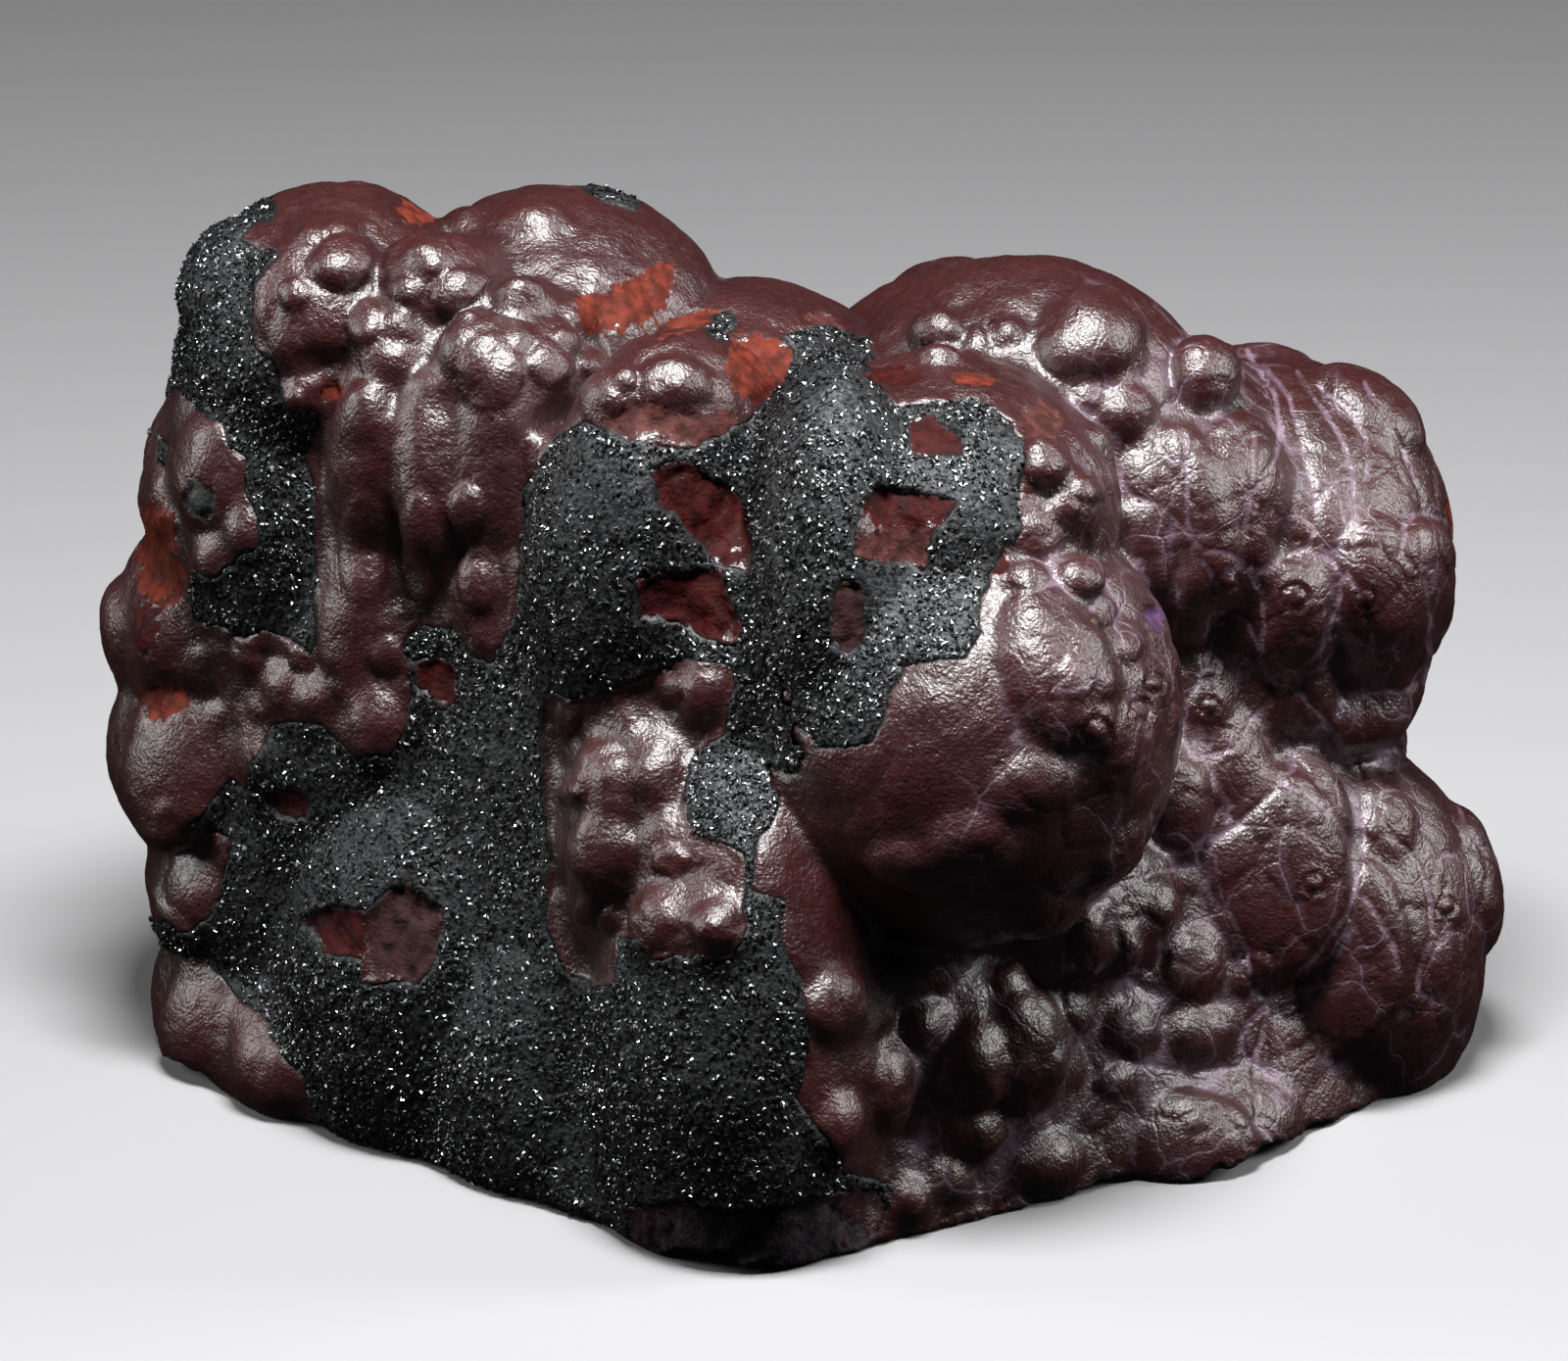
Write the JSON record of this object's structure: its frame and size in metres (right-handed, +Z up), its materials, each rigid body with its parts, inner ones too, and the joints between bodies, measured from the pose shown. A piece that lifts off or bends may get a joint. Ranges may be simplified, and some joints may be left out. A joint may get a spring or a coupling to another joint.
{
  "type": "botryoidal hematite specimen",
  "caption": "Hand-sized lump of kidney ore: red-brown round lobes with smaller knobs, part covered by a dark sparkling crust, resting on a flat broken base.",
  "frame": {"origin": "middle of the flat broken face that the lump rests on", "axes": "+Z up from the resting face; +X to the right as seen from the front, where an upright edge of the lump faces the viewer; -Y towards the viewer"},
  "size_m": [0.08, 0.06, 0.05],
  "materials": {
    "hematite": "satin"
  },
  "bodies": {
    "root": {"kidney_ore": "hematite"}
  },
  "joints": []
}
